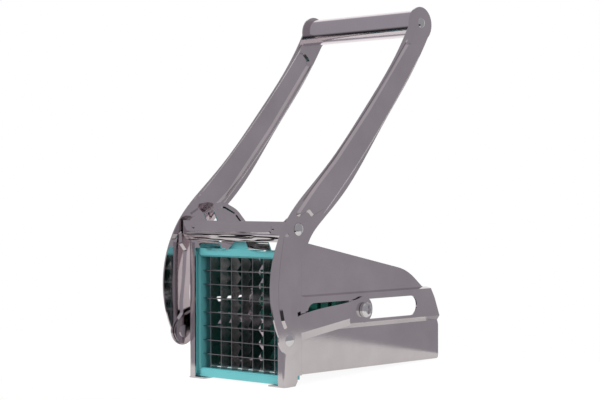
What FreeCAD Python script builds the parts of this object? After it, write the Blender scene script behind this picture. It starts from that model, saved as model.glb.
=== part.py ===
import FreeCAD
import Part
import math
import os

# French fry cutter. Millimetres, Z up, front towards -Y, symmetric about X = 0.
# Z = 0 is the underside of the two front legs.

V = FreeCAD.Vector

# Sheet and clearances
SHEET = 1.0
ARM_SHEET = 1.2
GAP = 0.3
RUN = 0.05

# Body, half widths from the middle plane
CHAMBER_HALF = 45.7
POCKET_STEP = 1.2
BAND_STEP = 3.5
POCKET_DEPTH = 16.5
BODY_LENGTH = 163.6
BODY_BOTTOM = 7.15
BEND = 2.2
FLANGE_INNER = 40.6
FLANGE_TOP = 95.0
LEG_DEPTH = 12.5
LEG_TAB = 15.0
WALL_FRONT_Y = 21.5
WALL_FRONT_Z = 96.05
WALL_BEND_Y = 128.25
WALL_BEND_Z = 73.9
WALL_REAR_Y = 145.5
BAND_CENTRE_Z = 48.3
BAND_FOOT = 12.5
BAND_FACE = 9.0
BAND_FACE_TOP = 11.4
BAND_FRONT = 14.5
SLOT_HEIGHT = 14.0
SLOT_FRONT = 20.0
SLOT_REAR = 134.8

# Pivots at rest, as Y and Z
PIVOT_A = (7.5, 105.5)
PIVOT_B = (-1.1, 32.5)
AXLE_Y = 75.0
HANDLE_LENGTH = 194.8
HANDLE_ANGLE = 48.64

# Lever stack on each side
LINK_STANDOFF = 1.1
ARM_HEAD_RADIUS = 10.8
ARM_PIVOT_RADIUS = 12.2
ARM_FOOT_RADIUS = 9.8
ARM_EMBOSS = 1.8
RIVET_SHANK = 6.0
RIVET_HEAD = 8.8
RIVET_RISE = 2.0
TUBE_OUTER = 19.2
TUBE_WALL = 1.2
LINK_END_RADIUS = 8.8

# Blade cassette
CASSETTE_BOTTOM = 1.3
CASSETTE_TOP = 91.0
CASSETTE_FRONT = 3.2
CASSETTE_REAR = 15.8
RAIL_FRONT = 1.35
RAIL_WIDTH = 4.1
SIDE_BORDER = 6.6
TOP_BORDER = 5.8
OPENING_BOTTOM = 7.2
GRID_FRONT = 6.4
GRID_REAR = 15.7
TOOTH = 4.0
BLADE = 0.45
COLUMN_BLADES = 7
ROWS = 8
BLADE_SEAT = 2.5

# Pusher
FACE_AHEAD = 13.5
FINGER_LENGTH = 7.5
FINGER_CLEAR = 1.0
BLOCK_PLATE = 4.5
AXLE_RADIUS = 4.0
SCREW_HEAD = 10.5

# Front bridge
BRIDGE_FRONT = -3.0
TAB_RADIUS = 5.1
BRIDGE_FACE = 9.0
BRIDGE_SKIRT = 4.8
BRIDGE_TAPER = 6.0
FIN_PLACE = (40.0, 110.0)
FLAP_INNER = 13.5
FLAP_OUTER = 34.5
FLAP_DROP = 5.6
FLAP_LEAN = 2.6

# Derived values
PANEL = CHAMBER_HALF
POCKET = CHAMBER_HALF + POCKET_STEP
BAND = CHAMBER_HALF + BAND_STEP
LINK_INNER = BAND + LINK_STANDOFF
TAB_INNER = LINK_INNER - GAP
ARM_INNER = LINK_INNER + SHEET + 2 * GAP
BRIDGE_TOP = PIVOT_A[1] + TAB_RADIUS
BRIDGE_LIP = BRIDGE_TOP - BRIDGE_FACE
BRIDGE_BOTTOM = BRIDGE_LIP - BRIDGE_SKIRT
BRIDGE_FOOT_HALF = TAB_INNER + SHEET - BRIDGE_TAPER
CASSETTE_HALF = POCKET - SHEET - GAP
OPENING_WIDE = 2 * (CASSETTE_HALF - SIDE_BORDER)
OPENING_HIGH = CASSETTE_TOP - TOP_BORDER - OPENING_BOTTOM
COLUMN_PITCH = OPENING_WIDE / (COLUMN_BLADES + 0.5)
ARM_OUTER = ARM_INNER + ARM_SHEET
AXLE_Z = BAND_CENTRE_Z
HEAD_Y = PIVOT_A[0] + HANDLE_LENGTH * math.cos(math.radians(HANDLE_ANGLE))
HEAD_Z = PIVOT_A[1] + HANDLE_LENGTH * math.sin(math.radians(HANDLE_ANGLE))
HEAD = (HEAD_Y, HEAD_Z)
AXLE = (AXLE_Y, AXLE_Z)
ROW_PITCH = OPENING_HIGH / ROWS
COLUMNS_X = [(i - (COLUMN_BLADES - 1) / 2.0) * COLUMN_PITCH for i in range(COLUMN_BLADES)]
ROWS_Z = [OPENING_BOTTOM + ROW_PITCH * k for k in range(1, ROWS)]

SHAPES = {}


# Drawing helpers
def on_x(x):
    return lambda u, v: V(x, u, v)


def on_y(y):
    return lambda u, v: V(u, y, v)


def on_z(z):
    return lambda u, v: V(u, v, z)


def outline(corners, place):
    """Closed wire through corners (u, v) or (u, v, radius), rounded by tangent arcs."""
    count = len(corners)
    starts = []
    ends = []
    mids = []
    for i in range(count):
        u, v = corners[i][0], corners[i][1]
        radius = corners[i][2] if len(corners[i]) > 2 else 0.0
        if radius <= 0.0:
            starts.append((u, v))
            ends.append((u, v))
            mids.append(None)
            continue
        before = corners[i - 1]
        after = corners[(i + 1) % count]
        a = (before[0] - u, before[1] - v)
        b = (after[0] - u, after[1] - v)
        la = math.hypot(a[0], a[1])
        lb = math.hypot(b[0], b[1])
        a = (a[0] / la, a[1] / la)
        b = (b[0] / lb, b[1] / lb)
        half = 0.5 * math.acos(max(-1.0, min(1.0, a[0] * b[0] + a[1] * b[1])))
        reach = min(radius / math.tan(half), 0.48 * la, 0.48 * lb)
        size = reach * math.tan(half)
        starts.append((u + a[0] * reach, v + a[1] * reach))
        ends.append((u + b[0] * reach, v + b[1] * reach))
        mid = (a[0] + b[0], a[1] + b[1])
        lm = math.hypot(mid[0], mid[1])
        far = size / math.sin(half) - size
        mids.append((u + mid[0] / lm * far, v + mid[1] / lm * far))
    edges = []
    for i in range(count):
        if mids[i] is not None:
            edges.append(Part.Arc(place(*starts[i]), place(*mids[i]), place(*ends[i])).toShape())
        first = place(*ends[i])
        last = place(*starts[(i + 1) % count])
        if first.distanceToPoint(last) > 1e-6:
            edges.append(Part.makeLine(first, last))
    return Part.Wire(edges)


def prism(corners, place, push):
    return Part.Face(outline(corners, place)).extrude(push)


def frustum(lower, place_lower, upper, place_upper):
    """Solid between two outlines that have the same number of corners."""
    if max(len(c) for c in lower + upper) == 2:
        return flat_frustum([place_lower(*c) for c in lower], [place_upper(*c) for c in upper])
    wires = [outline(lower, place_lower), outline(upper, place_upper)]
    return Part.makeLoft(wires, True, True)


def flat_frustum(lower, upper):
    """Solid with flat sides between two rings of points."""
    faces = [Part.Face(Part.makePolygon(ring + [ring[0]])) for ring in (lower, upper)]
    for i in range(len(lower)):
        j = (i + 1) % len(lower)
        faces.append(Part.Face(Part.makePolygon([lower[i], lower[j], upper[j], upper[i], lower[i]])))
    solid = Part.makeSolid(Part.makeShell(faces))
    if solid.Volume < 0:
        solid.reverse()
    return solid


def block(x0, x1, y0, y1, z0, z1):
    return Part.makeBox(x1 - x0, y1 - y0, z1 - z0, V(x0, y0, z0))


def rod(x0, x1, radius, centre):
    return Part.makeCylinder(radius, x1 - x0, V(x0, centre[0], centre[1]), V(1, 0, 0))


def mirror(shape):
    return shape.mirror(V(0, 0, 0), V(1, 0, 0))


def turned(profile, centre):
    """Solid turned about an X line through centre from (x, radius) corners."""
    points = [V(x, centre[0], centre[1] + r) for x, r in profile]
    face = Part.Face(Part.makePolygon(points + [points[0]]))
    return face.revolve(V(0, centre[0], centre[1]), V(1, 0, 0), 360)


def clean(shape):
    """The shape with merged faces, as one valid solid where it is one."""
    tidy = shape.removeSplitter()
    if len(tidy.Solids) == 1:
        return tidy.Solids[0]
    return tidy


def keep(name, shape):
    SHAPES[name] = clean(shape)


def keep_pair(name, shape):
    keep("right_" + name, shape)
    keep("left_" + name, mirror(clean(shape)))


# Body
def side_corners():
    top = BAND_CENTRE_Z + BAND_FOOT
    return [
        (-2.0, BODY_BOTTOM),
        (BODY_LENGTH, BODY_BOTTOM, 3.0),
        (BODY_LENGTH, BAND_CENTRE_Z - BAND_FOOT - 3.0, 8.0),
        (BODY_LENGTH - 8.5, BAND_CENTRE_Z + 4.8, 30.0),
        (BODY_LENGTH - 13.2, top, 1.5),
        (WALL_REAR_Y, top, 4.0),
        (WALL_BEND_Y, WALL_BEND_Z, 68.0),
        (WALL_FRONT_Y, WALL_FRONT_Z, 3.0),
        (PIVOT_A[0] + 8.0, PIVOT_A[1] - 3.0, 6.0),
        (PIVOT_A[0] + 7.0, PIVOT_A[1] + 8.0, 6.5),
        (PIVOT_A[0] - 7.5, PIVOT_A[1] + 8.0, 6.5),
        (PIVOT_A[0] - 7.5, FLANGE_TOP, 1.0),
        (-2.0, FLANGE_TOP),
    ]


def side_form(inset):
    """Filled form of one side, its outer skin moved inwards by inset."""
    ledge = inset * (math.sqrt(2.0) - 1.0)
    rise = BAND_FOOT - BAND_FACE_TOP
    brow = inset * (math.hypot(BAND_STEP, rise) - rise) / BAND_STEP
    high = 140.0
    panel = block(0.0, PANEL - inset, 5.0, 200.0, -5.0, high)
    pocket = prism(
        [
            (0.0, inset),
            (POCKET - inset, inset, BEND - inset),
            (POCKET - inset, POCKET_DEPTH),
            (PANEL - inset, POCKET_DEPTH + 1.5),
            (0.0, POCKET_DEPTH + 1.5),
        ],
        on_z(-5.0),
        V(0, 0, high + 5.0),
    )
    foot = [
        (BAND_FRONT + ledge, AXLE_Z - BAND_FOOT + ledge),
        (220.0, AXLE_Z - BAND_FOOT + ledge),
        (220.0, AXLE_Z + BAND_FOOT - brow),
        (BAND_FRONT + ledge, AXLE_Z + BAND_FOOT - brow),
    ]
    face = [
        (BAND_FRONT + BAND_STEP + ledge, AXLE_Z - BAND_FACE + ledge),
        (220.0, AXLE_Z - BAND_FACE + ledge),
        (220.0, AXLE_Z + BAND_FACE_TOP - brow),
        (BAND_FRONT + BAND_STEP + ledge, AXLE_Z + BAND_FACE_TOP - brow),
    ]
    band = frustum(foot, on_x(PANEL - inset), face, on_x(BAND - inset))
    return panel.fuse(pocket).fuse(band)


def side_sheet():
    sheet = side_form(0.0).cut(side_form(SHEET))
    trim = prism(side_corners(), on_x(0.0), V(BAND + 5.0, 0, 0))
    leg = prism(
        [
            (-2.0, -1.0),
            (LEG_DEPTH - 2.3, -1.0),
            (LEG_DEPTH - 2.3, 0.0),
            (LEG_DEPTH, 3.4),
            (LEG_DEPTH, BODY_BOTTOM + 1.0),
            (-2.0, BODY_BOTTOM + 1.0),
        ],
        on_x(FLANGE_INNER),
        V(BAND, 0, 0),
    )
    sheet = sheet.common(trim.fuse(leg))
    sheet = sheet.cut(block(-1.0, FLANGE_INNER, -1.0, POCKET_DEPTH, -2.0, 200.0))
    sheet = sheet.cut(block(-1.0, POCKET - SHEET, -1.0, SHEET + 0.01, FLANGE_TOP, 200.0))
    sheet = sheet.cut(block(-1.0, 60.0, -1.0, LEG_DEPTH + 1.0, -6.0, 0.0))
    return sheet


def floor_section(inset):
    """Cross-section of the floor trough, as a solid along the body."""
    return prism(
        [
            (-PANEL + inset, 20.0),
            (-PANEL + inset, BODY_BOTTOM + inset, BEND - inset),
            (PANEL - inset, BODY_BOTTOM + inset, BEND - inset),
            (PANEL - inset, 20.0),
        ],
        on_y(POCKET_DEPTH + 1.5),
        V(0, BODY_LENGTH - POCKET_DEPTH - 1.5, 0),
    )


def body_shell():
    slot = prism(
        [
            (SLOT_FRONT, AXLE_Z - SLOT_HEIGHT / 2, 6.8),
            (SLOT_REAR, AXLE_Z - SLOT_HEIGHT / 2, 6.8),
            (SLOT_REAR, AXLE_Z + SLOT_HEIGHT / 2, 6.8),
            (SLOT_FRONT, AXLE_Z + SLOT_HEIGHT / 2, 6.8),
        ],
        on_x(PANEL - 3.0),
        V(BAND_STEP + 5.0, 0, 0),
    )
    side = side_sheet().cut(slot)
    side = side.cut(rod(POCKET - 3.0, POCKET + 3.0, RIVET_SHANK / 2, PIVOT_A))
    foot = prism(
        [
            (FLANGE_INNER - LEG_TAB + 6.0, 0.0),
            (POCKET - 0.5, 0.0),
            (POCKET - 0.5, SHEET),
            (FLANGE_INNER - LEG_TAB + 6.0, SHEET),
        ],
        on_y(0.0),
        V(0, LEG_DEPTH - 2.3, 0),
    )
    side = side.fuse(foot)
    trough = floor_section(0.0).cut(floor_section(SHEET))
    trough = trough.common(block(-60.0, 60.0, 0.0, 200.0, 0.0, BODY_BOTTOM + BEND + 0.5))
    corner = BEND
    side = side.cut(block(0.0, 60.0, POCKET_DEPTH + 1.5, 200.0, 0.0, BODY_BOTTOM + corner))
    keep("body_shell", side.fuse(mirror(side)).fuse(trough))


def guard_fin():
    """Upright lug on the left wall, dished with a raised rim."""
    inner = CHAMBER_HALF
    def at(y, z, radius):
        return (FIN_PLACE[0] + y, FIN_PLACE[1] + z, radius)

    corners = [
        at(-6.0, -28.0, 3.0),
        at(-12.0, -2.0, 12.0),
        at(-18.4, 11.6, 2.0),
        at(-6.5, 13.2, 14.0),
        at(6.5, 7.4, 20.0),
        at(18.5, -4.5, 10.0),
        at(20.5, -28.0, 3.0),
    ]
    sheet = prism(corners, on_x(inner), V(SHEET, 0, 0))
    dish = [
        at(-4.0, -10.0, 3.0),
        at(-9.8, 0.5, 6.0),
        at(-13.8, 9.0, 1.5),
        at(-6.7, 10.2, 8.0),
        at(4.8, 5.0, 12.0),
        at(13.5, -4.0, 5.0),
        at(13.0, -10.0, 3.0),
    ]
    raised = [
        (FIN_PLACE[0] + (y - FIN_PLACE[0]) * 0.9, FIN_PLACE[1] + (z - FIN_PLACE[1]) * 0.86, r * 0.8)
        for y, z, r in dish
    ]
    bulge = frustum(dish, on_x(inner + SHEET), raised, on_x(inner + SHEET + 0.9))
    hollow = frustum(dish, on_x(inner - 0.001), raised, on_x(inner + 0.9))
    keep("left_guard_fin", mirror(sheet.fuse(bulge).cut(hollow)))


def bridge():
    """Front bridge with bent ends and two flaps over the cassette."""
    back = BRIDGE_FRONT + SHEET
    tab = TAB_INNER + SHEET
    reach = PIVOT_A[0] + TAB_RADIUS
    outer = [
        (-tab, reach),
        (-tab, BRIDGE_FRONT, 2.4),
        (tab, BRIDGE_FRONT, 2.4),
        (tab, reach),
    ]
    inner = [
        (-TAB_INNER, reach + 1.0),
        (-TAB_INNER, back, 1.4),
        (TAB_INNER, back, 1.4),
        (TAB_INNER, reach + 1.0),
    ]
    low = BRIDGE_BOTTOM - 1.0
    strip = prism(outer, on_z(low), V(0, 0, 20.0)).cut(prism(inner, on_z(low - 1.0), V(0, 0, 22.0)))
    front = prism(
        [
            (-tab - 1.0, BRIDGE_TOP),
            (-tab - 1.0, BRIDGE_LIP - 1.2),
            (-tab + 2.2, BRIDGE_LIP - 1.2),
            (-BRIDGE_FOOT_HALF, BRIDGE_BOTTOM, 1.5),
            (BRIDGE_FOOT_HALF, BRIDGE_BOTTOM, 1.5),
            (tab - 2.2, BRIDGE_LIP - 1.2),
            (tab + 1.0, BRIDGE_LIP - 1.2),
            (tab + 1.0, BRIDGE_TOP),
        ],
        on_y(BRIDGE_FRONT - 2.0),
        V(0, 30.0, 0),
    )
    strip = strip.common(front)
    ends = prism(
        [
            (BRIDGE_FRONT - 1.0, BRIDGE_BOTTOM - 2.0),
            (back + 1.6, BRIDGE_BOTTOM - 2.0),
            (back + 1.6, PIVOT_A[1] - TAB_RADIUS),
            (reach, PIVOT_A[1] - TAB_RADIUS, 5.0),
            (reach, PIVOT_A[1] + TAB_RADIUS, 5.0),
            (BRIDGE_FRONT - 1.0, PIVOT_A[1] + TAB_RADIUS),
        ],
        on_x(-tab - 1.0),
        V(2.0 * tab + 2.0, 0, 0),
    )
    strip = strip.common(ends)
    low_z = BRIDGE_LIP + 0.1 * BRIDGE_FACE
    high_z = BRIDGE_TOP - 1.2
    foot = [(-37.5, low_z, 1.5), (37.5, low_z, 1.5), (37.5, high_z, 1.5), (-37.5, high_z, 1.5)]
    face = [(-36.5, low_z + 0.9, 1.0), (36.5, low_z + 0.9, 1.0), (36.5, high_z - 0.9, 1.0), (-36.5, high_z - 0.9, 1.0)]
    strip = strip.fuse(frustum(foot, on_y(BRIDGE_FRONT), face, on_y(BRIDGE_FRONT - 0.8)))
    strip = strip.cut(frustum(foot, on_y(back + 0.001), face, on_y(back - 0.8)))
    for side in (-1.0, 1.0):
        bump = Part.makeSphere(2.6, V(side * 38.9, BRIDGE_FRONT + 2.1, BRIDGE_TOP - 4.4))
        strip = strip.fuse(bump.common(block(-50, 50, BRIDGE_FRONT - 1.0, back, 90, 120)))
        x0 = side * FLAP_INNER if side > 0 else -FLAP_OUTER
        flap = prism(
            [
                (BRIDGE_FRONT, BRIDGE_BOTTOM + 0.6),
                (back, BRIDGE_BOTTOM + 0.6),
                (back, BRIDGE_BOTTOM),
                (back + FLAP_LEAN, BRIDGE_BOTTOM - FLAP_DROP),
                (BRIDGE_FRONT + FLAP_LEAN, BRIDGE_BOTTOM - FLAP_DROP),
                (BRIDGE_FRONT, BRIDGE_BOTTOM),
            ],
            on_x(x0),
            V(FLAP_OUTER - FLAP_INNER, 0, 0),
        )
        strip = strip.fuse(flap)
        hole = rod(40.0, 60.0, RIVET_SHANK / 2, PIVOT_A)
        strip = strip.cut(hole if side > 0 else mirror(hole))
    keep("front_bridge", strip)


def upper_pivots():
    """Spacer, washer and rivet on which each arm turns."""
    spacer = rod(POCKET, TAB_INNER, 5.0, PIVOT_A).cut(rod(POCKET - 1, TAB_INNER + 1, RIVET_SHANK / 2, PIVOT_A))
    keep_pair("pivot_spacer", spacer)
    face = TAB_INNER + SHEET
    washer = rod(face, ARM_INNER - 0.2, 6.5, PIVOT_A).cut(rod(face - 1, ARM_INNER, RIVET_SHANK / 2, PIVOT_A))
    keep_pair("pivot_washer", washer)
    keep_pair("pivot_rivet", rivet(POCKET - SHEET, ARM_OUTER + 0.15, PIVOT_A))


def rivet(inner, under_head, centre, head=RIVET_HEAD, rise=RIVET_RISE, shank=RIVET_SHANK):
    """Domed rivet with its shank from inner to the underside of the head."""
    radius = head / 2.0
    sphere = (radius * radius + rise * rise) / (2.0 * rise)
    dome = Part.makeSphere(sphere, V(under_head + rise - sphere, centre[0], centre[1]))
    dome = dome.common(rod(under_head, under_head + rise + 1.0, radius, centre))
    return dome.fuse(rod(inner, under_head, shank / 2.0, centre))


# Lever
def between(start, end, along, aside):
    """Point at a share of the way from start to end, then aside to its left."""
    du = end[0] - start[0]
    dv = end[1] - start[1]
    length = math.hypot(du, dv)
    return (
        start[0] + du * along - dv / length * aside,
        start[1] + dv * along + du / length * aside,
    )


def arc_edge(place, a, b, c):
    return Part.Arc(place(*a), place(*b), place(*c)).toShape()


def curve_edge(place, points):
    curve = Part.BSplineCurve()
    curve.interpolate([place(*p) for p in points])
    return curve.toShape()


def arm_wire(x, inset):
    """Outline of the bent arm, drawn from its three pivots, moved in by inset."""
    place = on_x(x)
    front = [
        between(PIVOT_A, HEAD, 0.945, 8.2 - inset),
        between(PIVOT_A, HEAD, 0.80, 4.3 - inset),
        between(PIVOT_A, HEAD, 0.55, 3.8 - inset),
        between(PIVOT_A, HEAD, 0.293, 5.9 - inset),
        between(PIVOT_A, HEAD, 0.16, 9.2 - inset),
        between(PIVOT_A, HEAD, 0.03, 12.1 - inset),
        between(PIVOT_A, PIVOT_B, 0.107, inset - 17.2),
    ]
    rear = [
        between(PIVOT_A, PIVOT_B, 0.107, 10.4 - inset),
        between(PIVOT_A, HEAD, 0.023, inset - 12.3),
        between(PIVOT_A, HEAD, 0.10, inset - 13.6),
        between(PIVOT_A, HEAD, 0.236, inset - 17.6),
        between(PIVOT_A, HEAD, 0.56, inset - 17.0),
        between(PIVOT_A, HEAD, 0.80, inset - 15.9),
        between(PIVOT_A, HEAD, 0.985, inset - 12.0),
    ]
    crown = between(PIVOT_A, HEAD, 1.0 + (ARM_HEAD_RADIUS - inset) / HANDLE_LENGTH, -2.0)
    drop = math.hypot(PIVOT_B[0] - PIVOT_A[0], PIVOT_B[1] - PIVOT_A[1])
    heel = between(PIVOT_A, PIVOT_B, 1.0 + (ARM_FOOT_RADIUS - inset) / drop, 0.0)
    toe = between(PIVOT_A, PIVOT_B, 0.985, inset - 10.6)
    ankle = between(PIVOT_A, PIVOT_B, 0.93, 10.0 - inset)
    shin = between(PIVOT_A, PIVOT_B, 0.53, inset - 21.9)
    calf = between(PIVOT_A, PIVOT_B, 0.52, 2.9 - inset)
    edges = [
        curve_edge(place, front),
        arc_edge(place, front[-1], shin, toe),
        arc_edge(place, toe, heel, ankle),
        arc_edge(place, ankle, calf, rear[0]),
        curve_edge(place, rear),
        arc_edge(place, rear[-1], crown, front[0]),
    ]
    return Part.Wire(edges)


def shrunk(corners, inset):
    """The same outline with every side moved inwards, and its roundings smaller."""
    count = len(corners)
    area = 0.0
    for i in range(count):
        a, b = corners[i], corners[(i + 1) % count]
        area += a[0] * b[1] - b[0] * a[1]
    turn = 1.0 if area > 0 else -1.0
    result = []
    for i in range(count):
        before, here, after = corners[i - 1], corners[i], corners[(i + 1) % count]
        one = (here[0] - before[0], here[1] - before[1])
        two = (after[0] - here[0], after[1] - here[1])
        lone, ltwo = math.hypot(*one), math.hypot(*two)
        n1 = (-one[1] / lone * turn, one[0] / lone * turn)
        n2 = (-two[1] / ltwo * turn, two[0] / ltwo * turn)
        share = inset / (1.0 + n1[0] * n2[0] + n1[1] * n2[1])
        radius = max(here[2] - inset, 0.4)
        result.append((here[0] + (n1[0] + n2[0]) * share, here[1] + (n1[1] + n2[1]) * share, radius))
    return result


def long_panel():
    """Outline of the raised stretch between the pivot and the hand tube."""
    stations = [
        (0.030, 8.8, 2.5),
        (0.030, 5.4, 1.5),
        (0.073, 1.8, 3.5),
        (0.073, -4.0, 1.5),
        (0.122, -8.8, 12.0),
        (0.226, -12.8, 25.0),
        (0.560, -14.2, 90.0),
        (0.900, -12.2, 5.5),
        (0.900, 2.6, 5.5),
        (0.550, 2.2, 90.0),
        (0.300, 4.2, 60.0),
        (0.160, 7.4, 30.0),
    ]
    return [between(PIVOT_A, HEAD, along, aside) + (radius,) for along, aside, radius in stations]


def low_panel():
    """Outline of the raised crescent between the two lower pivots."""
    stations = [
        (0.030, -9.0, 1.5),
        (0.160, -7.4, 3.0),
        (0.225, -2.2, 3.0),
        (0.440, -1.6, 40.0),
        (0.726, -1.8, 30.0),
        (0.835, -0.6, 1.5),
        (0.925, -5.4, 1.5),
        (0.840, -9.6, 1.5),
        (0.735, -12.4, 12.0),
        (0.530, -14.6, 40.0),
        (0.330, -14.6, 30.0),
        (0.080, -13.0, 3.0),
    ]
    return [between(PIVOT_A, PIVOT_B, along, aside) + (radius,) for along, aside, radius in stations]


def arms():
    arm = Part.Face(arm_wire(ARM_INNER, 0.0)).extrude(V(ARM_SHEET, 0, 0))
    for panel in (long_panel, low_panel):
        foot = panel()
        rise = frustum(foot, on_x(ARM_OUTER), shrunk(foot, 1.3), on_x(ARM_OUTER + ARM_EMBOSS))
        sink = frustum(shrunk(foot, 0.5), on_x(ARM_INNER), shrunk(foot, 1.8), on_x(ARM_INNER + ARM_EMBOSS))
        arm = arm.fuse(rise).cut(sink)
    arm = arm.cut(rod(ARM_INNER - 1, ARM_OUTER + 4, RIVET_SHANK / 2 + RUN, PIVOT_A))
    arm = arm.cut(rod(ARM_INNER - 1, ARM_OUTER + 4, RIVET_SHANK / 2, PIVOT_B))
    arm = arm.cut(rod(ARM_INNER - 1, ARM_OUTER + 4, 2.5, HEAD))
    keep_pair("arm", arm)
    keep_pair("lower_rivet", rivet(ARM_INNER, ARM_OUTER, PIVOT_B))


def hand_tube():
    inside = TUBE_OUTER / 2 - TUBE_WALL
    tube = rod(-ARM_INNER, ARM_INNER, TUBE_OUTER / 2, HEAD).cut(rod(-60, 60, inside, HEAD))
    keep("hand_tube", tube)
    plug = rod(ARM_INNER - 9.0, ARM_INNER, inside, HEAD).cut(rod(ARM_INNER - 20, ARM_INNER + 1, 2.5, HEAD))
    keep_pair("tube_plug", plug)
    keep_pair("handle_rivet", rivet(ARM_INNER - 7.0, ARM_OUTER, HEAD, 7.6, 1.7, 5.0))


# Links
def links():
    start = PIVOT_B
    end = AXLE
    reach = math.hypot(end[0] - start[0], end[1] - start[1])
    radius = LINK_END_RADIUS

    def at(along, aside):
        return between(start, end, along / reach, aside)

    place = on_x(LINK_INNER)
    top = [at(reach - 3.0, radius), at(0.56 * reach, 11.2), at(0.20 * reach, 12.6), at(-3.0, 8.9)]
    base = [at(0.12 * reach, -4.6), at(0.45 * reach, -3.4), at(0.84 * reach, -5.2), at(reach - 2.0, -radius)]
    edges = [
        curve_edge(place, top),
        arc_edge(place, top[-1], at(-radius, 0.0), at(0.0, -radius)),
        Part.makeLine(place(*at(0.0, -radius)), place(*base[0])),
        curve_edge(place, base),
        arc_edge(place, base[-1], at(reach + radius, 0.0), top[0]),
    ]
    strip = Part.Face(Part.Wire(edges)).extrude(V(SHEET, 0, 0))
    outer = LINK_INNER + SHEET

    def lip(x0, drop, lean):
        first = at(0.17 * reach, 1.0 - drop)
        last = at(0.80 * reach, -2.2 - drop)
        a = V(x0 - lean, first[0], first[1])
        b = V(x0 - lean, last[0], last[1])
        return a, b

    a0, b0 = lip(LINK_INNER, 0.0, 0.0)
    a1, b1 = lip(LINK_INNER, 5.0, 0.75)
    shift = V(SHEET, 0, 0)
    first = Part.makePolygon([a0, a1, a1 + shift, a0 + shift, a0])
    last = Part.makePolygon([b0, b1, b1 + shift, b0 + shift, b0])
    cut_zone = Part.makeLoft([
        Part.makePolygon([a0 + V(-3, 0, 0), a1 + V(-3, 0, -6), a1 + V(4, 0, -6), a0 + V(4, 0, 0), a0 + V(-3, 0, 0)]),
        Part.makePolygon([b0 + V(-3, 0, 0), b1 + V(-3, 0, -6), b1 + V(4, 0, -6), b0 + V(4, 0, 0), b0 + V(-3, 0, 0)]),
    ], True, True)
    strip = strip.cut(cut_zone).fuse(Part.makeLoft([first, last], True, True))
    strip = strip.cut(rod(outer - 5, outer + 5, RIVET_SHANK / 2 + RUN, AXLE))
    strip = strip.cut(rod(outer - 5, outer + 5, RIVET_SHANK / 2, PIVOT_B))
    keep_pair("link", strip)
    stud = rod(LINK_INNER, outer, RIVET_SHANK / 2, PIVOT_B).fuse(rod(LINK_INNER - 0.8, LINK_INNER, 4.4, PIVOT_B))
    keep_pair("link_stud", stud)


# Pusher
def cell_spans():
    """Clear spans of the grid columns and rows, as middle and half width."""
    edges_x = [-OPENING_WIDE / 2] + COLUMNS_X + [OPENING_WIDE / 2]
    edges_z = [OPENING_BOTTOM] + ROWS_Z + [OPENING_BOTTOM + OPENING_HIGH]
    spans = []
    for edges in (edges_x, edges_z):
        line = []
        for low, high in zip(edges[:-1], edges[1:]):
            line.append((0.5 * (low + high), 0.5 * (high - low) - FINGER_CLEAR - BLADE / 2))
        spans.append(line)
    return spans


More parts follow.
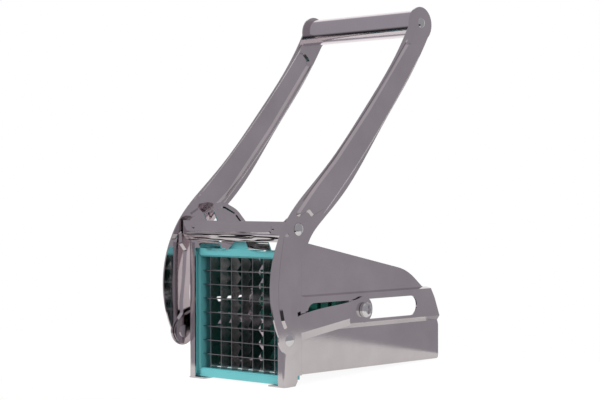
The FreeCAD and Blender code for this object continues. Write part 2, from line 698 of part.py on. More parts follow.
def pusher():
    face = AXLE_Y - FACE_AHEAD
    root = face + FINGER_LENGTH
    back = root + BLOCK_PLATE
    columns, rows = cell_spans()
    half = columns[-1][0] + columns[-1][1] + 0.4
    low = rows[0][0] - rows[0][1]
    high = rows[-1][0] + rows[-1][1]
    plate = block(-half, half, root, back, low, high)
    fingers = []
    for cx, hx in columns:
        for cz, hz in rows:
            wide = [(cx - hx, cz - hz), (cx + hx, cz - hz), (cx + hx, cz + hz), (cx - hx, cz + hz)]
            tip = 0.5
            thin = [(cx - hx + tip, cz - hz + tip), (cx + hx - tip, cz - hz + tip)]
            thin += [(cx + hx - tip, cz + hz - tip), (cx - hx + tip, cz + hz - tip)]
            fingers.append(frustum(wide, on_y(root), thin, on_y(face)))
    shape = plate.fuse(fingers)
    hub = 10.0
    boss = block(-half + 4, half - 4, back, AXLE_Y + hub, AXLE_Z - hub, AXLE_Z + hub)
    shape = shape.fuse(boss)
    for x in (-26.0, -9.0, 9.0, 26.0):
        rib = prism(
            [
                (back, low + 3.0),
                (AXLE_Y + hub, AXLE_Z - hub),
                (AXLE_Y + hub, AXLE_Z + hub),
                (back, high - 3.0),
            ],
            on_x(x - 1.5),
            V(3.0, 0, 0),
        )
        shape = shape.fuse(rib)
    shape = shape.cut(rod(-60, 60, AXLE_RADIUS + RUN, AXLE))
    keep("pusher_block", shape)
    cheek_in = half - 4.0 + 0.1
    cheek_out = cheek_in + 1.5
    saddle = block(-cheek_out, cheek_out, AXLE_Y + hub, AXLE_Y + hub + 1.5, AXLE_Z - hub, AXLE_Z + hub)
    for side in (-1, 1):
        cheek = prism(
            [
                (back + 0.6, AXLE_Z - hub, 4.0),
                (AXLE_Y + hub + 1.5, AXLE_Z - hub, 1.0),
                (AXLE_Y + hub + 1.5, AXLE_Z + hub, 1.0),
                (back + 0.6, AXLE_Z + hub, 4.0),
            ],
            on_x(cheek_in if side > 0 else -cheek_out),
            V(1.5, 0, 0),
        )
        saddle = saddle.fuse(cheek)
    saddle = saddle.cut(rod(-60, 60, AXLE_RADIUS + RUN, AXLE))
    screws = [(-17.5, AXLE_Z), (17.5, AXLE_Z)]
    for index, (x, z) in enumerate(screws):
        far = AXLE_Y + hub + 1.5
        shank = Part.makeCylinder(2.0, 7.0, V(x, far - 6.0, z), V(0, 1, 0))
        head = Part.makeCylinder(4.0, 2.0, V(x, far, z), V(0, 1, 0))
        saddle = saddle.cut(shank)
        SHAPES["pusher_block"] = SHAPES["pusher_block"].cut(shank)
        keep("saddle_screw_%d" % (index + 1), head.fuse(shank.common(block(-60, 60, 0, far, 0, 90))))
    keep("pusher_saddle", saddle)
    end = TAB_INNER
    keep("axle_rod", rod(-end + 0.01, end - 0.01, AXLE_RADIUS, AXLE).cut(rod(end - 12, end + 1, 2.2, AXLE)).cut(rod(-end - 1, -end + 12, 2.2, AXLE)))
    bush = turned(
        [
            (POCKET - 0.9, AXLE_RADIUS + RUN),
            (POCKET - 0.9, 8.4),
            (POCKET + 0.1, 8.4),
            (POCKET + 0.1, SLOT_HEIGHT / 2 - 0.1),
            (end, SLOT_HEIGHT / 2 - 0.1),
            (end, AXLE_RADIUS + RUN),
        ],
        AXLE,
    )
    keep_pair("slot_bush", bush)
    under = LINK_INNER + SHEET + GAP
    washer = rod(under, under + 0.8, 5.2, AXLE).cut(rod(under - 1, under + 2, RIVET_SHANK / 2, AXLE))
    keep_pair("axle_washer", washer)
    seat = under + 0.8
    screw = turned(
        [
            (end - 11.0, 0.0),
            (end - 11.0, 2.2),
            (end, 2.2),
            (end, RIVET_SHANK / 2),
            (seat, RIVET_SHANK / 2),
            (seat, SCREW_HEAD / 2),
            (seat + 1.6, SCREW_HEAD / 2),
            (seat + 2.6, SCREW_HEAD / 2 - 0.8),
            (seat + 3.1, SCREW_HEAD / 2 - 2.4),
            (seat + 3.2, 0.0),
        ],
        AXLE,
    )
    drive = block(seat + 1.6, seat + 4, AXLE_Y - 0.75, AXLE_Y + 0.75, AXLE_Z - 3, AXLE_Z + 3)
    drive = drive.fuse(block(seat + 1.6, seat + 4, AXLE_Y - 3, AXLE_Y + 3, AXLE_Z - 0.75, AXLE_Z + 0.75))
    keep_pair("axle_screw", screw.cut(drive))


# Blade cassette
def cassette_frame():
    rail = [
        (-CASSETTE_HALF, CASSETTE_BOTTOM, 1.5),
        (CASSETTE_HALF, CASSETTE_BOTTOM, 1.5),
        (CASSETTE_HALF, CASSETTE_TOP, 1.5),
        (-CASSETTE_HALF, CASSETTE_TOP, 1.5),
    ]
    frame = prism(rail, on_y(CASSETTE_FRONT), V(0, CASSETTE_REAR - CASSETTE_FRONT, 0))
    for side in (-1, 1):
        ridge = prism(
            [
                (side * (CASSETTE_HALF - RAIL_WIDTH), CASSETTE_FRONT),
                (side * (CASSETTE_HALF - RAIL_WIDTH), RAIL_FRONT, 0.5),
                (side * (CASSETTE_HALF - 1.4), RAIL_FRONT),
                (side * CASSETTE_HALF, RAIL_FRONT + 1.4),
                (side * CASSETTE_HALF, CASSETTE_FRONT),
            ],
            on_z(CASSETTE_BOTTOM + 2),
            V(0, 0, CASSETTE_TOP - CASSETTE_BOTTOM - 4),
        )
        frame = frame.fuse(ridge)
        dip = prism(
            [
                (side * 10.5, CASSETTE_TOP + 1),
                (side * 12.0, CASSETTE_TOP - 1.0),
                (side * 26.0, CASSETTE_TOP - 1.0),
                (side * 27.5, CASSETTE_TOP + 1),
            ],
            on_y(0.0),
            V(0, 30, 0),
        )
        frame = frame.cut(dip)
    tab = prism(
        [
            (-13.0, CASSETTE_TOP - 2),
            (13.0, CASSETTE_TOP - 2),
            (13.0, CASSETTE_TOP - 0.1, 1.0),
            (6.0, CASSETTE_TOP + 5.6, 2.0),
            (-6.0, CASSETTE_TOP + 5.6, 2.0),
            (-13.0, CASSETTE_TOP - 0.1, 1.0),
        ],
        on_y(6.0),
        V(0, 5.5, 0),
    )
    frame = frame.fuse(tab)
    half = OPENING_WIDE / 2
    low = OPENING_BOTTOM
    high = low + OPENING_HIGH
    frame = frame.cut(block(-half, half, 0, 30, low, high))
    bevel = 1.2
    wide = [(-half - bevel, low - bevel), (half + bevel, low - bevel), (half + bevel, high + bevel), (-half - bevel, high + bevel)]
    tight = [(-half, low), (half, low), (half, high), (-half, high)]
    frame = frame.cut(frustum(wide, on_y(CASSETTE_FRONT), tight, on_y(CASSETTE_FRONT + bevel)))
    seats = []
    wide = BLADE / 2 + RUN
    for x in COLUMNS_X:
        seats.append(block(x - wide, x + wide, GRID_FRONT, 30, low - BLADE_SEAT - RUN, high + BLADE_SEAT + RUN))
    for z in ROWS_Z:
        seats.append(block(-half - BLADE_SEAT - RUN, half + BLADE_SEAT + RUN, GRID_FRONT, 30, z - wide, z + wide))
    rebate = block(-60, 60, LEG_DEPTH - 0.4, 40, -5, BODY_BOTTOM - BLADE_SEAT - 0.3)
    keep("blade_frame", frame.cut(seats).cut(rebate))


def toothed_blade(stations, low, high, place, push, lap_front):
    """Thin blade with one point per cell on the rear edge and half-lap notches."""
    middle = 0.5 * (GRID_FRONT + GRID_REAR - TOOTH)
    valley = GRID_REAR - TOOTH
    edges = [low] + stations + [high]
    points = [(low - BLADE_SEAT, GRID_FRONT), (low - BLADE_SEAT, valley), (low, valley)]
    for a, b in zip(edges[:-1], edges[1:]):
        points.append((0.5 * (a + b), GRID_REAR))
        points.append((b, valley))
    points += [(high + BLADE_SEAT, valley), (high + BLADE_SEAT, GRID_FRONT)]
    blade = Part.Face(Part.makePolygon([place(u, v) for u, v in points + [points[0]]])).extrude(push)
    notches = []
    for s in stations:
        wide = BLADE / 2 + RUN
        if lap_front:
            span = (GRID_FRONT - 1.0, middle + RUN)
        else:
            span = (middle - RUN, GRID_REAR + 1.0)
        box = [(s - wide, span[0]), (s + wide, span[0]), (s + wide, span[1]), (s - wide, span[1])]
        notches.append(Part.Face(Part.makePolygon([place(u, v) for u, v in box + [box[0]]])).extrude(push))
    return blade.cut(notches)


def blades():
    low = OPENING_BOTTOM
    high = low + OPENING_HIGH
    half = OPENING_WIDE / 2
    for index, x in enumerate(COLUMNS_X):
        def upright(u, v, x=x):
            return V(x - BLADE / 2, v, u)

        keep("vertical_blade_%d" % (index + 1), toothed_blade(ROWS_Z, low, high, upright, V(BLADE, 0, 0), False))
    for index, z in enumerate(ROWS_Z):
        def level(u, v, z=z):
            return V(u, v, z - BLADE / 2)

        keep("level_blade_%d" % (index + 1), toothed_blade(COLUMNS_X, -half, half, level, V(0, 0, BLADE), True))


body_shell()
guard_fin()
bridge()
upper_pivots()
arms()
hand_tube()
links()
pusher()
cassette_frame()
blades()

# The whole is moved so that the origin is under the middle of its outline
bounds = Part.makeCompound(list(SHAPES.values())).optimalBoundingBox(False)
shift = V(0, -0.5 * (bounds.YMin + bounds.YMax), 0)
os.makedirs("parts", exist_ok=True)
for name, shape in SHAPES.items():
    shape.translate(shift)
    shape.exportStep("parts/" + name + ".step")
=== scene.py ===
import math

import bpy
import numpy as np
from mathutils import Matrix, Vector

bl_info = {
    "name": "French fry cutter finishes",
    "version": (1, 0, 0),
    "blender": (4, 5, 0),
    "location": "View3D > Sidebar > Fry cutter",
    "description": "Finishes, stage and camera for a lever fry cutter",
    "category": "Object",
}

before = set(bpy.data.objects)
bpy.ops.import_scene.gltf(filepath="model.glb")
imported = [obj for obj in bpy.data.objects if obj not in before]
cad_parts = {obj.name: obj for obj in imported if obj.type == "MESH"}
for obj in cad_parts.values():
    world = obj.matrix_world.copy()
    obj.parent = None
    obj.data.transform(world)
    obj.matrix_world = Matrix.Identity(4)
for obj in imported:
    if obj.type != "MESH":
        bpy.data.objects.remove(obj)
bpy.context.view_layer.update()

# The camera, fitted to the photograph: place and reach in metres, turns in degrees, and
# lens and sensor in millimetres.
CAMERA_PLACE = (0.79186, -0.83777, 0.13157)
CAMERA_TURN = 43.66
CAMERA_DIP = 0.358
CAMERA_ROLL = -0.15
CAMERA_LENS = 96.68
CAMERA_SENSOR = 36.0
CAMERA_REACH = 20.0

# The table passes a hair below the front feet and the rear edge of the trough.
FRONT_FOOT_Y = -0.0723
REAR_EDGE_Y = 0.0912
REAR_EDGE_Z = 0.00715
FLOOR_DROP = 0.0001

# The table's borders. The far one slants, as its reflection in the steel shows.
FLOOR_REAR_Y = 0.1028
FLOOR_REAR_SLANT = 0.182
FLOOR_LEFT_X = -0.45
FLOOR_RIGHT_X = 0.25
FLOOR_FRONT_Y = -0.15

# The table is matt and mostly gives light of its own, by colour and strength: one light as
# the steel reflects it, and a brighter one as the camera sees it.
FLOOR_ROUGHNESS = 0.7
FLOOR_SHINE = 0.2
FLOOR_GLOW_SHARE = 0.86
GLOW_IN_STEEL = ((1.0, 0.99, 0.96), 0.69)
GLOW_IN_PICTURE = ((1.0, 1.0, 1.0), 1.05)

# The tent that the steel reflects, and its dark opening on the camera's side: the Y of the
# way at which the opening begins and is full, and its brightness by height, from 0 straight
# down to 1 straight up.
TENT_COLOUR = (0.343, 0.332, 0.358)
OPENING_DEPTH = (0.15, -0.25)
OPENING_BRIGHTNESS = ((0.0, 0.05), (0.28, 0.06), (0.37, 1.0), (1.0, 1.0))

# Bright fields in the tent: way from the tool, cosines of the angles from that way at which
# the field begins and is full, and colour.
BACKDROP = ((-0.69, 0.724, 0.0), (0.6, 0.75), (1.0, 0.99, 0.98))
SOFTBOX = ((0.28, -0.19, 0.94), (0.9, 0.985), (0.5, 0.48, 0.5))

# The lamps: place, width, height and power in watts. Each is turned to the same target.
LAMP_TARGET = (0.0, 0.0, 0.12)
LAMPS = {
    "key_light": ((-1.1, -1.5, 0.6), 1.0, 1.0, 44.0),
    "side_light": ((1.7, -0.6, 0.7), 0.7, 1.2, 16.0),
    "top_light": ((0.2, 0.0, 1.6), 1.4, 1.4, 20.0),
}

# The bridge's rolled lip and its tongues: lower height, upper height and slope of the roll.
LIP_BANDS = ((0.0967, 0.1034, 0.5), (0.090, 0.0967, 0.55))

# The lip's ripples: their closeness along X, Y and Z, their full height, and the depth below
# the lip's upper edge at which they reach it.
RIPPLE_STRETCH = (30.0, 1.0, 300.0)
RIPPLE_HEIGHT = 0.0016
RIPPLE_DEPTH = 0.002

# The arms' upper stretch from pivot to hand tube: length in metres, lean in degrees.
ARM_PIVOT = (0.0, -0.064863, 0.1055)
ARM_LENGTH = 0.1948
ARM_LEAN = 48.64

# The soft edges of its pressed panel: middle as a share of the length, least distance aside
# and bend. All have the same half width and rise, and fade out at both ends of the stretch.
CREASES = ((0.68, 0.0030, 0.0203), (0.58, -0.0156, 0.0215))
CREASE_HALF = 0.0009
CREASE_RISE = 0.0006
CREASE_BEGIN = (0.06, 0.14)
CREASE_END = (0.92, 0.88)

# Bumps and smudges that all metals share. Depths are in metres.
GRAIN_DEPTH = 0.0004
SMUDGE_SCALE = 22.0
SMUDGE_SPREAD = (0.35, 0.7)

# The mottle and the orange-peel skin that all plastics share.
PLASTIC_INDEX = 1.5
MOTTLE_SCALE = 30.0
PEEL_SCALE = 900.0
PEEL_STRENGTH = 0.08
PEEL_DEPTH = 0.0002

# Colours of the smaller pieces. A plastic has a second, deeper one for its mottle.
TUBE_COLOUR = (0.80, 0.73, 0.77)
FASTENER_COLOUR = (0.78, 0.77, 0.78)
BLADE_COLOUR = (0.46, 0.445, 0.455)
BUSH_COLOURS = ((0.82, 0.82, 0.80), (0.74, 0.74, 0.72))
PLUG_COLOURS = ((0.03, 0.03, 0.03), (0.02, 0.02, 0.02))

# How much of their colour the mottle leaves in the cassette's frame and in the pusher.
FRAME_MOTTLE = 0.9
PUSHER_MOTTLE = 0.85


# Node helpers
def new_material(name):
    """Material with an empty node tree."""
    material = bpy.data.materials.new(name)
    material.use_nodes = True
    material.node_tree.nodes.clear()
    return material


def new_group(name, inputs, outputs):
    """Empty node group with its input sockets, as names with kinds, and its output values."""
    group = bpy.data.node_groups.new(name, "ShaderNodeTree")
    for socket, kind in inputs.items():
        group.interface.new_socket(socket, in_out="INPUT", socket_type=kind)
    for socket in outputs:
        group.interface.new_socket(socket, in_out="OUTPUT", socket_type="NodeSocketFloat")
    return group


def add_node(tree, kind, values=None, **settings):
    """Node of one kind with its settings and the values of its inputs."""
    node = tree.nodes.new(kind)
    for key, value in settings.items():
        setattr(node, key, value)
    for key, value in (values or {}).items():
        node.inputs[key].default_value = value
    return node


def maths(tree, operation, *values):
    """Result of one calculation, whose terms are plain numbers or other nodes' outputs."""
    node = add_node(tree, "ShaderNodeMath", operation=operation)
    for slot, value in enumerate(values):
        if isinstance(value, float):
            node.inputs[slot].default_value = value
        else:
            tree.links.new(value, node.inputs[slot])
    return node.outputs[0]


def ramp(tree, value, ends, top=1.0):
    """Zero at the first end and top at the second, straight between and level outside them."""
    limits = {"From Min": ends[0], "From Max": ends[1], "To Max": top}
    node = add_node(tree, "ShaderNodeMapRange", limits)
    tree.links.new(value, node.inputs["Value"])
    return node.outputs["Result"]


def reach(tree, vector, way):
    """How far a vector reaches along a way."""
    node = add_node(tree, "ShaderNodeVectorMath", operation="DOT_PRODUCT")
    node.inputs[1].default_value = way
    tree.links.new(vector, node.inputs[0])
    return node.outputs["Value"]


def stretched(tree, vector, factors):
    """A vector times three factors, given as numbers or as a node's output."""
    node = add_node(tree, "ShaderNodeVectorMath", operation="MULTIPLY")
    tree.links.new(vector, node.inputs[0])
    if isinstance(factors, tuple):
        node.inputs[1].default_value = factors
    else:
        tree.links.new(factors, node.inputs[1])
    return node.outputs[0]


def blend(tree, factor, first, second, **settings):
    """Mix of two colours, each given as a colour or as a node's output."""
    node = add_node(tree, "ShaderNodeMix", data_type="RGBA", **settings)
    tree.links.new(factor, node.inputs["Factor"])
    for key, colour in (("A", first), ("B", second)):
        if isinstance(colour, tuple):
            node.inputs[key].default_value = (*colour, 1.0)
        else:
            tree.links.new(colour, node.inputs[key])
    return node.outputs["Result"]


# Effects that materials share
def grain_group():
    """Rolled grain and soft smudges of sheet metal: a grain height, a roughness and a smudge mask."""
    inputs = {
        "Grain stretch": "NodeSocketVector",
        "Grain scale": "NodeSocketFloat",
        "Smudge scale": "NodeSocketFloat",
        "Roughness": "NodeSocketFloat",
        "Smudge": "NodeSocketFloat",
    }
    group = new_group("sheet_grain", inputs, ("Height", "Roughness", "Mask"))
    link = group.links.new
    start = add_node(group, "NodeGroupInput")
    end = add_node(group, "NodeGroupOutput")
    place = add_node(group, "ShaderNodeTexCoord").outputs["Object"]
    grain = add_node(group, "ShaderNodeTexNoise", {"Detail": 3.0, "Roughness": 0.6})
    smudge = add_node(group, "ShaderNodeTexNoise", {"Detail": 4.0, "Roughness": 0.55})
    link(stretched(group, place, start.outputs["Grain stretch"]), grain.inputs["Vector"])
    link(start.outputs["Grain scale"], grain.inputs["Scale"])
    link(place, smudge.inputs["Vector"])
    link(start.outputs["Smudge scale"], smudge.inputs["Scale"])
    mask = ramp(group, smudge.outputs["Fac"], SMUDGE_SPREAD)
    more = maths(group, "MULTIPLY", mask, start.outputs["Smudge"])
    link(grain.outputs["Fac"], end.inputs["Height"])
    link(maths(group, "ADD", more, start.outputs["Roughness"]), end.inputs["Roughness"])
    link(mask, end.inputs["Mask"])
    return group


def lip_group():
    """Roll of the bridge's lip and tongues, as a height in metres for a bump.

    The height grows straight with Z inside each band. Waves from a noise, drawn out along
    the lip, are added below the lip's upper edge.
    """
    group = new_group("lip_roll", {}, ("Height",))
    link = group.links.new
    end = add_node(group, "NodeGroupOutput")
    place = add_node(group, "ShaderNodeTexCoord").outputs["Object"]
    split = add_node(group, "ShaderNodeSeparateXYZ")
    link(place, split.inputs[0])
    height = split.outputs["Z"]
    rolls = []
    for low, high, slope in LIP_BANDS:
        rolls.append(ramp(group, height, (low, high), slope * (high - low)))
    waves = add_node(group, "ShaderNodeTexNoise", {"Scale": 1.0, "Detail": 1.0})
    link(stretched(group, place, RIPPLE_STRETCH), waves.inputs["Vector"])
    edge = LIP_BANDS[0][1]
    full = ramp(group, height, (edge, edge - RIPPLE_DEPTH), RIPPLE_HEIGHT)
    total = maths(group, "MULTIPLY_ADD", waves.outputs["Fac"], full, maths(group, "ADD", *rolls))
    link(total, end.inputs["Height"])
    return group


def crease_group():
    """Soft edges of the arms' pressed panel, as a height in metres for a bump.

    Each edge is a parabola beside the line from pivot to hand tube: its distance aside is
    the least distance plus the bend times the squared share of the way from the middle.
    The height is a bell curve of the distance from that edge, faded out at both ends.
    """
    group = new_group("arm_crease", {}, ("Height",))
    end = add_node(group, "NodeGroupOutput")
    place = add_node(group, "ShaderNodeTexCoord")
    shift = add_node(group, "ShaderNodeVectorMath", operation="SUBTRACT")
    shift.inputs[1].default_value = ARM_PIVOT
    group.links.new(place.outputs["Object"], shift.inputs[0])
    angle = math.radians(ARM_LEAN)
    length = reach(group, shift.outputs[0], (0.0, math.cos(angle), math.sin(angle)))
    along = maths(group, "DIVIDE", length, ARM_LENGTH)
    aside = reach(group, shift.outputs[0], (0.0, -math.sin(angle), math.cos(angle)))
    bells = []
    for middle, least, bend in CREASES:
        away = maths(group, "SUBTRACT", along, middle)
        edge = maths(group, "MULTIPLY_ADD", maths(group, "MULTIPLY", away, away), bend, least)
        off = maths(group, "DIVIDE", maths(group, "SUBTRACT", aside, edge), CREASE_HALF)
        square = maths(group, "MULTIPLY", off, off)
        bells.append(maths(group, "EXPONENT", maths(group, "MULTIPLY", square, -1.0)))
    fade = maths(
        group, "MULTIPLY", ramp(group, along, CREASE_BEGIN), ramp(group, along, CREASE_END)
    )
    total = maths(group, "MULTIPLY", maths(group, "ADD", *bells), fade)
    group.links.new(maths(group, "MULTIPLY", total, CREASE_RISE), end.inputs["Height"])
    return group


EFFECTS = {"sheet_grain": grain_group, "lip_roll": lip_group, "arm_crease": crease_group}


def add_effect(tree, name, values=None):
    """One shared effect placed in a material. Its group is built at its first use."""
    group = bpy.data.node_groups.get(name) or EFFECTS[name]()
    return add_node(tree, "ShaderNodeGroup", values, node_tree=group)


# Finishes
def metal(name, colour, shade, roughness, stretch, grain_scale, bump=0.02, smudge=0.03, relief=""):
    """Polished metal with fine grain and faint smudges, which keep a share of its colour.

    The stretch makes the grain closer along X, Y and Z. A relief names one more effect,
    whose height is in metres.
    """
    material = new_material(name)
    tree = material.node_tree
    link = tree.links.new
    out = add_node(tree, "ShaderNodeOutputMaterial")
    shader = add_node(tree, "ShaderNodeBsdfPrincipled", {"Metallic": 1.0})
    values = {
        "Grain stretch": stretch,
        "Grain scale": grain_scale,
        "Smudge scale": SMUDGE_SCALE,
        "Roughness": roughness,
        "Smudge": smudge,
    }
    grain = add_effect(tree, "sheet_grain", values)
    smudged = tuple(shade * part for part in colour)
    link(blend(tree, grain.outputs["Mask"], colour, smudged), shader.inputs["Base Color"])
    link(grain.outputs["Roughness"], shader.inputs["Roughness"])
    fine = add_node(tree, "ShaderNodeBump", {"Strength": bump, "Distance": GRAIN_DEPTH})
    link(grain.outputs["Height"], fine.inputs["Height"])
    normal = fine.outputs["Normal"]
    if relief:
        form = add_node(tree, "ShaderNodeBump", {"Strength": 1.0, "Distance": 1.0})
        link(add_effect(tree, relief).outputs["Height"], form.inputs["Height"])
        link(normal, form.inputs["Normal"])
        normal = form.outputs["Normal"]
    link(normal, shader.inputs["Normal"])
    link(shader.outputs[0], out.inputs[0])
    return material


def plastic(name, colour, deep, roughness):
    """Moulded plastic with a little mottle in its colour and a fine orange-peel skin."""
    material = new_material(name)
    tree = material.node_tree
    link = tree.links.new
    out = add_node(tree, "ShaderNodeOutputMaterial")
    values = {"Roughness": roughness, "IOR": PLASTIC_INDEX}
    shader = add_node(tree, "ShaderNodeBsdfPrincipled", values)
    place = add_node(tree, "ShaderNodeTexCoord").outputs["Object"]
    mottle = add_node(tree, "ShaderNodeTexNoise", {"Scale": MOTTLE_SCALE, "Detail": 3.0})
    peel = add_node(tree, "ShaderNodeTexNoise", {"Scale": PEEL_SCALE, "Detail": 2.0})
    bump = add_node(tree, "ShaderNodeBump", {"Strength": PEEL_STRENGTH, "Distance": PEEL_DEPTH})
    link(place, mottle.inputs["Vector"])
    link(place, peel.inputs["Vector"])
    link(blend(tree, mottle.outputs["Fac"], colour, deep), shader.inputs["Base Color"])
    link(peel.outputs["Fac"], bump.inputs["Height"])
    link(bump.outputs["Normal"], shader.inputs["Normal"])
    link(shader.outputs[0], out.inputs[0])
    return material


def dress(names, material):
    """Gives one material to every slot of the named pieces."""
    for name in names:
        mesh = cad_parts[name].data
        mesh.materials.clear()
        mesh.materials.append(material)


def named(*endings):
    """Names of the pieces that end in one of the given ways."""
    return [name for name in sorted(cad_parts) if name.endswith(endings)]


# Sizes and colours that a user would change
class SteelSettings(bpy.types.PropertyGroup):
    """Look of the sheet steel"""
    colour: bpy.props.FloatVectorProperty(
        name="Steel colour", description="Colour of the polished sheet steel",
        subtype="COLOR", size=3, min=0.0, max=1.0, default=(0.70, 0.65, 0.67),
    )
    roughness: bpy.props.FloatProperty(
        name="Steel roughness", description="How blurred the steel's reflections are",
        subtype="FACTOR", min=0.0, max=1.0, default=0.075,
    )


class PlasticSettings(bpy.types.PropertyGroup):
    """Colours of the two large plastic pieces"""
    frame_colour: bpy.props.FloatVectorProperty(
        name="Cassette colour", description="Colour of the blade cassette's frame",
        subtype="COLOR", size=3, min=0.0, max=1.0, default=(0.105, 0.375, 0.395),
    )
    # The pusher is moulded of the cassette frame's teal plastic. Its dark green here is painted
    # shade: the teal darkened for the shadow it stands in inside the trough.
    pusher_painted_shade_colour: bpy.props.FloatVectorProperty(
        name="Pusher colour", description="Colour of the fingered pusher",
        subtype="COLOR", size=3, min=0.0, max=1.0, default=(0.010, 0.125, 0.095),
    )


class StageSettings(bpy.types.PropertyGroup):
    """Look of the studio"""
    floor_colour: bpy.props.FloatVectorProperty(
        name="Floor colour", description="Colour of the studio floor",
        subtype="COLOR", size=3, min=0.0, max=1.0, default=(0.93, 0.93, 0.93),
    )
    tent_strength: bpy.props.FloatProperty(
        name="Tent strength", description="How brightly the grey tent shows in the steel",
        subtype="FACTOR", min=0.0, max=4.0, default=1.0,
    )


# Pieces
class CUTTER_OT_sheet_steel(bpy.types.Operator):
    """Finish the folded trough, the front bridge, the lug, the arms, the links and the saddle"""
    bl_idname = "cutter.sheet_steel"
    bl_label = "Sheet steel"

    def execute(self, context):
        steel = context.scene.cutter_steel
        look = {"colour": tuple(steel.colour), "roughness": steel.roughness}
        trough = metal(
            "trough_steel", **look, shade=0.86, stretch=(1.0, 1.0, 9.0), grain_scale=420.0
        )
        dress(["body_shell"], trough)
        bridge = metal(
            "bridge_steel", **look, shade=0.88, stretch=(9.0, 1.0, 1.0), grain_scale=380.0,
            relief="lip_roll",
        )
        dress(["front_bridge", "left_guard_fin"], bridge)
        arm = metal(
            "arm_steel", **look, shade=0.86, stretch=(1.0, 3.0, 3.0), grain_scale=420.0,
            relief="arm_crease",
        )
        dress(named("_arm"), arm)
        link = metal(
            "link_steel", **look, shade=0.85, stretch=(1.0, 1.0, 8.0), grain_scale=420.0
        )
        dress(named("_link", "pusher_saddle"), link)
        return {"FINISHED"}


class CUTTER_OT_bright_parts(bpy.types.Operator):
    """Finish the hand tube, its plugs, the rivets, the washers, the axle, its screws and bushes"""
    bl_idname = "cutter.bright_parts"
    bl_label = "Bright parts"

    def execute(self, context):
        tube = metal(
            "tube_chrome", TUBE_COLOUR, shade=0.92, roughness=0.09,
            stretch=(1.0, 6.0, 6.0), grain_scale=300.0, bump=0.01, smudge=0.04,
        )
        dress(["hand_tube"], tube)
        fastener = metal(
            "fastener_chrome", FASTENER_COLOUR, shade=0.92, roughness=0.1,
            stretch=(1.0, 1.0, 1.0), grain_scale=500.0, bump=0.01, smudge=0.05,
        )
        dress(named("_rivet", "_washer", "_spacer", "_stud", "axle_rod"), fastener)
        dress(named("_screw", "_screw_1", "_screw_2"), fastener)
        dress(named("slot_bush"), plastic("bush_plastic", *BUSH_COLOURS, roughness=0.45))
        dress(named("tube_plug"), plastic("plug_plastic", *PLUG_COLOURS, roughness=0.5))
        return {"FINISHED"}


class CUTTER_OT_cassette(bpy.types.Operator):
    """Finish the blade cassette's frame and its crossed blades"""
    bl_idname = "cutter.cassette"
    bl_label = "Blade cassette"

    def execute(self, context):
        colour = tuple(context.scene.cutter_plastic.frame_colour)
        deep = tuple(FRAME_MOTTLE * part for part in colour)
        dress(["blade_frame"], plastic("frame_plastic", colour, deep, roughness=0.32))
        blade = metal(
            "blade_steel", BLADE_COLOUR, shade=0.85, roughness=0.16,
            stretch=(1.0, 1.0, 1.0), grain_scale=700.0,
        )
        dress([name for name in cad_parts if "_blade_" in name], blade)
        return {"FINISHED"}


class CUTTER_OT_pusher(bpy.types.Operator):
    """Finish the fingered pusher"""
    bl_idname = "cutter.pusher"
    bl_label = "Pusher"

    def execute(self, context):
        # Painted shade: the pusher gets a dark green in place of the frame's teal, for the shadow it
        # stands in. The mottle on top is random tone.
        colour = tuple(context.scene.cutter_plastic.pusher_painted_shade_colour)
        deep = tuple(PUSHER_MOTTLE * part for part in colour)
        dress(["pusher_block"], plastic("pusher_plastic", colour, deep, roughness=0.35))
        return {"FINISHED"}


# Stage
def surface(name, points):
    """Mesh of a grid of points. Faces look up when rows follow along Y and their points along X."""
    rows, across = points.shape[:2]
    cells = (np.arange(rows - 1)[:, None] * across + np.arange(across - 1)[None, :]).ravel()
    faces = np.stack([cells, cells + 1, cells + across + 1, cells + across], axis=1)
    mesh = bpy.data.meshes.new(name)
    mesh.from_pydata(points.reshape(-1, 3).tolist(), [], faces.tolist())
    mesh.update()
    thing = bpy.data.objects.new(name, mesh)
    bpy.context.scene.collection.objects.link(thing)
    return thing


def glow(tree, colour, strength):
    """Output of one light-giving shader."""
    values = {"Color": (*colour, 1.0), "Strength": strength}
    return add_node(tree, "ShaderNodeEmission", values).outputs[0]


def make_floor(colour):
    """Table top through the feet and the trough's rear edge, ending behind the tool.

    Height is the rise of the rear edge times the share of the way from foot to edge.
    The far border is a straight line whose distance grows with the place across.
    """
    slope = REAR_EDGE_Z / (REAR_EDGE_Y - FRONT_FOOT_Y)
    across, share = np.meshgrid((FLOOR_LEFT_X, FLOOR_RIGHT_X), (0.0, 1.0))
    rear = FLOOR_REAR_Y + FLOOR_REAR_SLANT * across
    along = FLOOR_FRONT_Y + share * (rear - FLOOR_FRONT_Y)
    height = (along - FRONT_FOOT_Y) * slope - FLOOR_DROP
    floor = surface("studio_floor", np.stack([across, along, height], axis=-1))
    material = new_material("studio_floor")
    tree = material.node_tree
    link = tree.links.new
    out = add_node(tree, "ShaderNodeOutputMaterial")
    values = {"Roughness": FLOOR_ROUGHNESS, "Specular IOR Level": FLOOR_SHINE}
    shader = add_node(tree, "ShaderNodeBsdfPrincipled", values)
    shader.inputs["Base Color"].default_value = (*colour, 1.0)
    path = add_node(tree, "ShaderNodeLightPath")
    choose = add_node(tree, "ShaderNodeMixShader")
    mix = add_node(tree, "ShaderNodeMixShader", {"Fac": FLOOR_GLOW_SHARE})
    link(path.outputs["Is Camera Ray"], choose.inputs["Fac"])
    link(glow(tree, *GLOW_IN_STEEL), choose.inputs[1])
    link(glow(tree, *GLOW_IN_PICTURE), choose.inputs[2])
    link(shader.outputs[0], mix.inputs[1])
    link(choose.outputs[0], mix.inputs[2])
    link(mix.outputs[0], out.inputs[0])
    floor.data.materials.append(material)


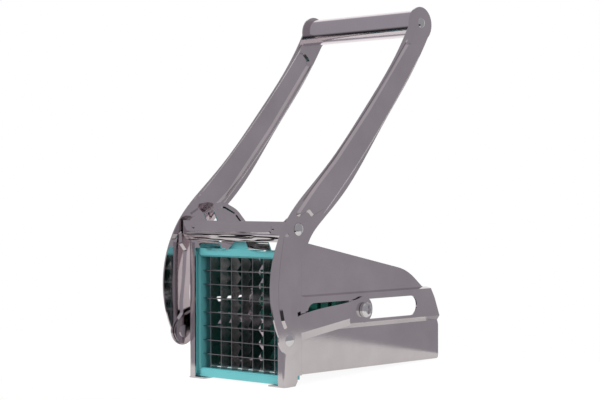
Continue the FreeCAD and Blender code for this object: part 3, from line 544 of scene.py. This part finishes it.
def make_world(strength):
    """Grey tent with a dark opening low on the camera's side and two bright fields.

    Only reflections and light come from it: the camera itself sees plain white.
    """
    world = bpy.data.worlds.new("studio")
    world.use_nodes = True
    tree = world.node_tree
    tree.nodes.clear()
    link = tree.links.new
    out = add_node(tree, "ShaderNodeOutputWorld")
    way = add_node(tree, "ShaderNodeTexCoord").outputs["Generated"]
    split = add_node(tree, "ShaderNodeSeparateXYZ")
    link(way, split.inputs[0])
    opening = add_node(tree, "ShaderNodeValToRGB")
    stops = opening.color_ramp.elements
    for position, _ in OPENING_BRIGHTNESS[1:-1]:
        stops.new(position)
    for stop, (_, value) in zip(stops, OPENING_BRIGHTNESS):
        stop.color = (value, value, value, 1.0)
    link(ramp(tree, split.outputs["Z"], (-1.0, 1.0)), opening.inputs["Fac"])
    front = ramp(tree, split.outputs["Y"], OPENING_DEPTH)
    tent = blend(tree, front, TENT_COLOUR, opening.outputs["Color"], blend_type="MULTIPLY")
    for field, ends, colour in (BACKDROP, SOFTBOX):
        tent = blend(tree, ramp(tree, reach(tree, way, field), ends), tent, colour)
    room = add_node(tree, "ShaderNodeBackground", {"Strength": strength})
    white = add_node(tree, "ShaderNodeBackground", {"Color": (1.0, 1.0, 1.0, 1.0)})
    path = add_node(tree, "ShaderNodeLightPath")
    mix = add_node(tree, "ShaderNodeMixShader")
    link(tent, room.inputs["Color"])
    link(path.outputs["Is Camera Ray"], mix.inputs["Fac"])
    link(room.outputs[0], mix.inputs[1])
    link(white.outputs[0], mix.inputs[2])
    link(mix.outputs[0], out.inputs[0])
    bpy.context.scene.world = world


def make_lights():
    """Rectangular lamps turned to the tool. The steel doesn't reflect them."""
    for name, (place, width, height, power) in LAMPS.items():
        lamp = bpy.data.lights.new(name, "AREA")
        lamp.shape = "RECTANGLE"
        lamp.size = width
        lamp.size_y = height
        lamp.energy = power
        thing = bpy.data.objects.new(name, lamp)
        thing.location = place
        ahead = Vector(LAMP_TARGET) - Vector(place)
        thing.rotation_euler = ahead.to_track_quat("-Z", "Y").to_euler()
        thing.visible_glossy = False
        bpy.context.scene.collection.objects.link(thing)


def make_camera():
    """Camera at its fitted place, turned, dipped and then rolled about its own axis."""
    turn = math.radians(CAMERA_TURN)
    dip = math.radians(CAMERA_DIP)
    roll = math.radians(CAMERA_ROLL)
    level = Vector((-math.sin(turn), math.cos(turn), 0.0))
    ahead = level * math.cos(dip) - Vector((0.0, 0.0, math.sin(dip)))
    right = Vector((math.cos(turn), math.sin(turn), 0.0))
    up = right.cross(ahead)
    rolled_right = right * math.cos(roll) + up * math.sin(roll)
    rolled_up = up * math.cos(roll) - right * math.sin(roll)
    lens = bpy.data.cameras.new("photo_camera")
    lens.sensor_width = CAMERA_SENSOR
    lens.lens = CAMERA_LENS
    lens.clip_end = CAMERA_REACH
    camera = bpy.data.objects.new("photo_camera", lens)
    turned = Matrix((rolled_right, rolled_up, -ahead)).transposed().to_4x4()
    camera.matrix_world = Matrix.Translation(CAMERA_PLACE) @ turned
    bpy.context.scene.collection.objects.link(camera)
    bpy.context.scene.camera = camera


class CUTTER_OT_stage(bpy.types.Operator):
    """Lay the studio floor, place the tent and the lamps, and set the camera"""
    bl_idname = "cutter.stage"
    bl_label = "Stage, lights and camera"

    def execute(self, context):
        settings = context.scene.cutter_stage
        make_floor(tuple(settings.floor_colour))
        make_world(settings.tent_strength)
        make_lights()
        make_camera()
        context.scene.view_settings.view_transform = "Standard"
        return {"FINISHED"}


# Sidebar
class CUTTER_PT_panel(bpy.types.Panel):
    """Lists the settings and the finishes in the sidebar"""
    bl_idname = "CUTTER_PT_panel"
    bl_label = "Fry cutter"
    bl_space_type = "VIEW_3D"
    bl_region_type = "UI"
    bl_category = "Fry cutter"

    def draw(self, context):
        for group in GROUPS:
            box = self.layout.box()
            values = getattr(context.scene, group)
            for key in values.bl_rna.properties.keys():
                if key not in ("rna_type", "name"):
                    box.prop(values, key)
        for operator in OPERATORS:
            self.layout.operator(operator.bl_idname)


OPERATORS = (
    CUTTER_OT_sheet_steel,
    CUTTER_OT_bright_parts,
    CUTTER_OT_cassette,
    CUTTER_OT_pusher,
    CUTTER_OT_stage,
)
GROUPS = {
    "cutter_steel": SteelSettings,
    "cutter_plastic": PlasticSettings,
    "cutter_stage": StageSettings,
}


def register():
    """Registers the settings, the operators and the panel."""
    for name, group in GROUPS.items():
        bpy.utils.register_class(group)
        setattr(bpy.types.Scene, name, bpy.props.PointerProperty(type=group))
    for kind in OPERATORS + (CUTTER_PT_panel,):
        bpy.utils.register_class(kind)


def unregister():
    """Takes back what register did, in reverse order."""
    for kind in reversed(OPERATORS + (CUTTER_PT_panel,)):
        bpy.utils.unregister_class(kind)
    for name, group in reversed(list(GROUPS.items())):
        delattr(bpy.types.Scene, name)
        bpy.utils.unregister_class(group)


def main():
    register()
    bpy.ops.cutter.sheet_steel()
    bpy.ops.cutter.bright_parts()
    bpy.ops.cutter.cassette()
    bpy.ops.cutter.pusher()
    bpy.ops.cutter.stage()


if __name__ == "__main__":
    main()
